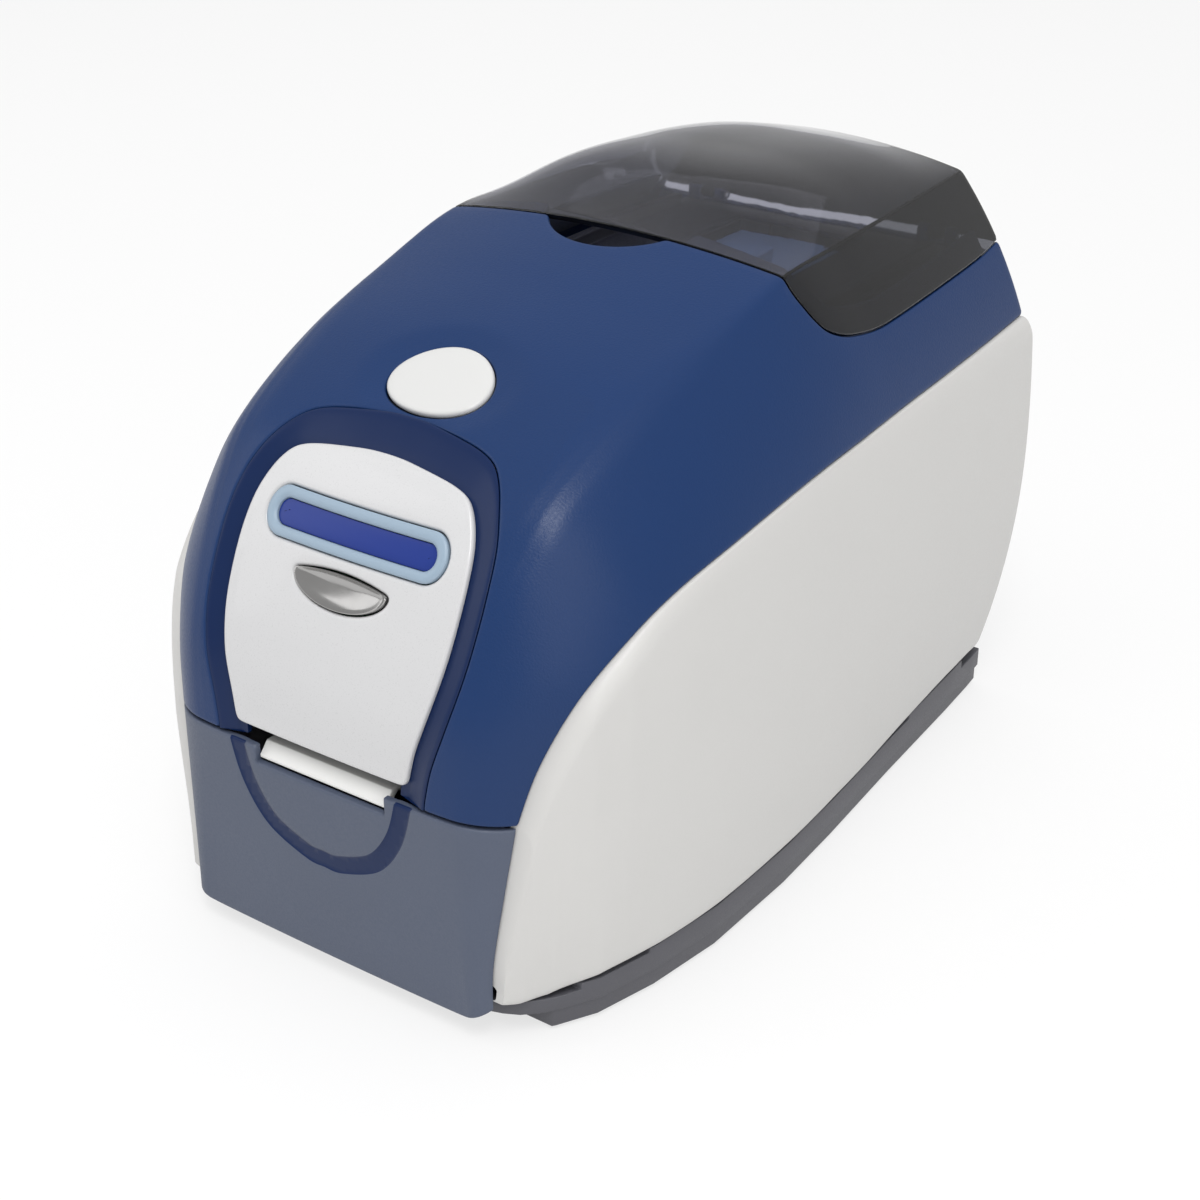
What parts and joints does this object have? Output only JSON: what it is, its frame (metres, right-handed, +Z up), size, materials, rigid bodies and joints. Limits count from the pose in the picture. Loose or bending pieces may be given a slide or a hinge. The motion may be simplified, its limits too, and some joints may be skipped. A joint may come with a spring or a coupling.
{
  "type": "id card printer",
  "caption": "Desktop plastic card printer with a hinged hood, smoke lid over the card hopper, side panels and a geared card path.",
  "frame": {"origin": "middle of the footprint on the surface the feet stand on", "axes": "+X to the right seen from the front, +Y from the front face to the rear, +Z up"},
  "size_m": [0.203, 0.3133, 0.2365],
  "materials": {
    "hood_blue": "deep blue moulded plastic with a fine leather-like grain, satin",
    "fascia_blue": "slate blue moulded plastic with a fine grain",
    "surround_blue": "smooth dark blue plastic, semi-gloss",
    "panel_grey": "warm light grey plastic, very fine texture",
    "plate_silver": "pearl white plastic, satin",
    "base_grey": "dark grey moulded plastic",
    "lid_smoke": "transparent smoke plastic, polished",
    "bezel_blue": "grey-blue translucent plastic",
    "lens_blue": "saturated blue display lens",
    "button_chrome": "bright plated, concave",
    "steel": "bright steel",
    "black_plastic": "black moulded plastic",
    "rubber": "black rubber",
    "board_green": "circuit board with green coating",
    "weight_blue": "light blue plastic",
    "gear_white": "off-white acetal",
    "film": "thin colour ribbon",
    "bronze": "sintered bronze",
    "head_alu": "finned aluminium",
    "motor_dark": "dark painted can",
    "roller_white": "tacky pale cleaning sleeve"
  },
  "bodies": {
    "base": {"base_tray": "base_grey", "rubber_feet": "rubber", "base_plate": "steel", "front_fascia": "fascia_blue", "exit_chute": "plate_silver", "side_panel_left": "panel_grey", "side_panel_right": "panel_grey", "rear_panel": "base_grey", "catch_bar": "steel", "hinge_posts": "steel", "hood_hinge_pins": "steel", "frame_plate_left": "steel", "frame_plate_right": "steel", "roller_bushings": "bronze", "frame_crossbars": "steel", "card_guides": "steel", "hopper": "black_plastic", "feeder_deck": "black_plastic", "idler_studs": "steel", "drive_motor": "motor_dark", "ribbon_film": "film", "main_board": "board_green", "board_standoffs": "steel", "power_socket": "black_plastic", "usb_socket": "steel", "network_socket": "steel"},
    "hood": {"hood": "hood_blue", "hood_knuckles": "hood_blue", "lid_ledge": "fascia_blue", "finger_well": "surround_blue", "plate_surround": "surround_blue", "face_plate": "plate_silver", "window_bezel": "bezel_blue", "window_lens": "lens_blue", "display_board": "board_green", "release_guide": "fascia_blue", "latch_bracket": "steel", "lid_hinge_pins": "steel", "hood_hinge_arms": "fascia_blue", "head_bridge": "steel"},
    "lid_body": {"lid": "lid_smoke"},
    "control_button_body": {"control_button": "button_chrome"},
    "release_button_body": {"release_button": "plate_silver"},
    "latch_lever_body": {"latch_lever": "steel"},
    "card_weight_body": {"card_weight": "weight_blue"},
    "gate_slide_body": {"gate_slide": "steel"},
    "pick_roller_body": {"pick_roller": "rubber"},
    "feed_roller_body": {"feed_roller": "rubber"},
    "cleaning_roller_body": {"cleaning_roller": "roller_white"},
    "platen_roller_body": {"platen_roller": "rubber"},
    "exit_roller_body": {"exit_roller": "rubber"},
    "exit_pinch_roller_body": {"exit_pinch_roller": "rubber"},
    "pick_idler_gear_body": {"pick_idler_gear": "gear_white"},
    "feed_idler_gear_body": {"feed_idler_gear": "gear_white"},
    "exit_idler_gear_body": {"exit_idler_gear": "gear_white"},
    "motor_pinion_body": {"motor_pinion": "steel"},
    "ribbon_supply_spool_body": {"ribbon_supply_spool": "film"},
    "ribbon_takeup_spool_body": {"ribbon_takeup_spool": "black_plastic"},
    "print_head_body": {"print_head": "head_alu"},
    "power_rocker_body": {"power_rocker": "black_plastic"}
  },
  "joints": [
    {"name": "hood_hinge", "type": "hinge", "parent": "base", "child": "hood", "pos_m": [0, 0.153, 0.1695], "axis": [-1, 0, 0], "range_deg": [0, 55]},
    {"name": "lid_hinge", "type": "hinge", "parent": "hood", "child": "lid_body", "pos_m": [0, 0.1538, 0.192], "axis": [-1, 0, 0], "range_deg": [0, 85]},
    {"name": "release_press", "type": "slide", "parent": "hood", "child": "release_button_body", "axis": [0, 0.4188, -0.9081], "range_m": [0, 0.0025], "stiffness_N_per_m": 600, "springref_m": -0.001},
    {"name": "control_press", "type": "slide", "parent": "hood", "child": "control_button_body", "axis": [0, 1, 0], "range_m": [0, 0.0008], "stiffness_N_per_m": 1500, "springref_m": -0.0005},
    {"name": "latch_swing", "type": "hinge", "parent": "hood", "child": "latch_lever_body", "pos_m": [0, -0.1, 0.166], "axis": [-1, 0, 0], "range_deg": [0, 10], "stiffness_Nm_per_rad": 0.12, "springref_deg": -14.32},
    {"name": "head_press", "type": "slide", "parent": "hood", "child": "print_head_body", "axis": [0, 0, 1], "range_m": [0, 0.002], "stiffness_N_per_m": 2000, "springref_m": -0.001},
    {"name": "weight_slide", "type": "slide", "parent": "base", "child": "card_weight_body", "axis": [0, 0, -1], "range_m": [0, 0.076]},
    {"name": "gate_lift", "type": "slide", "parent": "base", "child": "gate_slide_body", "axis": [0, 0, 1], "range_m": [0, 0.003]},
    {"name": "rocker_tilt", "type": "hinge", "parent": "base", "child": "power_rocker_body", "pos_m": [-0.014, 0.1516, 0.043], "axis": [1, 0, 0], "range_deg": [0, 14]},
    {"name": "feed_idler_spin", "type": "hinge", "parent": "base", "child": "feed_idler_gear_body", "pos_m": [-0.0415, 0.001, 0.07732], "axis": [1, 0, 0], "continuous": true},
    {"name": "platen_spin", "type": "hinge", "parent": "base", "child": "platen_roller_body", "pos_m": [0, -0.036, 0.07732], "axis": [1, 0, 0], "continuous": true},
    {"name": "feed_spin", "type": "hinge", "parent": "base", "child": "feed_roller_body", "pos_m": [0, 0.038, 0.07732], "axis": [1, 0, 0], "continuous": true},
    {"name": "pick_spin", "type": "hinge", "parent": "base", "child": "pick_roller_body", "pos_m": [0, 0.097, 0.07732], "axis": [1, 0, 0], "continuous": true},
    {"name": "exit_spin", "type": "hinge", "parent": "base", "child": "exit_roller_body", "pos_m": [0, -0.112, 0.07732], "axis": [1, 0, 0], "continuous": true},
    {"name": "pick_idler_spin", "type": "hinge", "parent": "base", "child": "pick_idler_gear_body", "pos_m": [-0.0415, 0.0675, 0.07732], "axis": [1, 0, 0], "continuous": true},
    {"name": "exit_idler_spin", "type": "hinge", "parent": "base", "child": "exit_idler_gear_body", "pos_m": [-0.0415, -0.074, 0.07732], "axis": [1, 0, 0], "continuous": true},
    {"name": "motor_spin", "type": "hinge", "parent": "base", "child": "motor_pinion_body", "pos_m": [-0.0415, 0.001, 0.04132], "axis": [1, 0, 0], "continuous": true},
    {"name": "cleaning_spin", "type": "hinge", "parent": "base", "child": "cleaning_roller_body", "pos_m": [0, 0.038, 0.09278], "axis": [1, 0, 0], "continuous": true},
    {"name": "pinch_spin", "type": "hinge", "parent": "base", "child": "exit_pinch_roller_body", "pos_m": [0, -0.112, 0.09138], "axis": [1, 0, 0], "continuous": true},
    {"name": "supply_spin", "type": "hinge", "parent": "base", "child": "ribbon_supply_spool_body", "pos_m": [0, 0.008, 0.112], "axis": [1, 0, 0], "continuous": true},
    {"name": "takeup_spin", "type": "hinge", "parent": "base", "child": "ribbon_takeup_spool_body", "pos_m": [0, -0.084, 0.112], "axis": [1, 0, 0], "continuous": true}
  ],
  "couplings": [
    {"joint": "platen_spin", "follows": "feed_idler_spin", "ratio": -2.7},
    {"joint": "feed_spin", "follows": "feed_idler_spin", "ratio": -2.7},
    {"joint": "pick_idler_spin", "follows": "feed_idler_spin", "ratio": 1.3846},
    {"joint": "pick_spin", "follows": "feed_idler_spin", "ratio": -2.7},
    {"joint": "exit_idler_spin", "follows": "feed_idler_spin", "ratio": 0.96429},
    {"joint": "exit_spin", "follows": "feed_idler_spin", "ratio": -2.7},
    {"joint": "motor_spin", "follows": "feed_idler_spin", "ratio": -3}
  ]
}
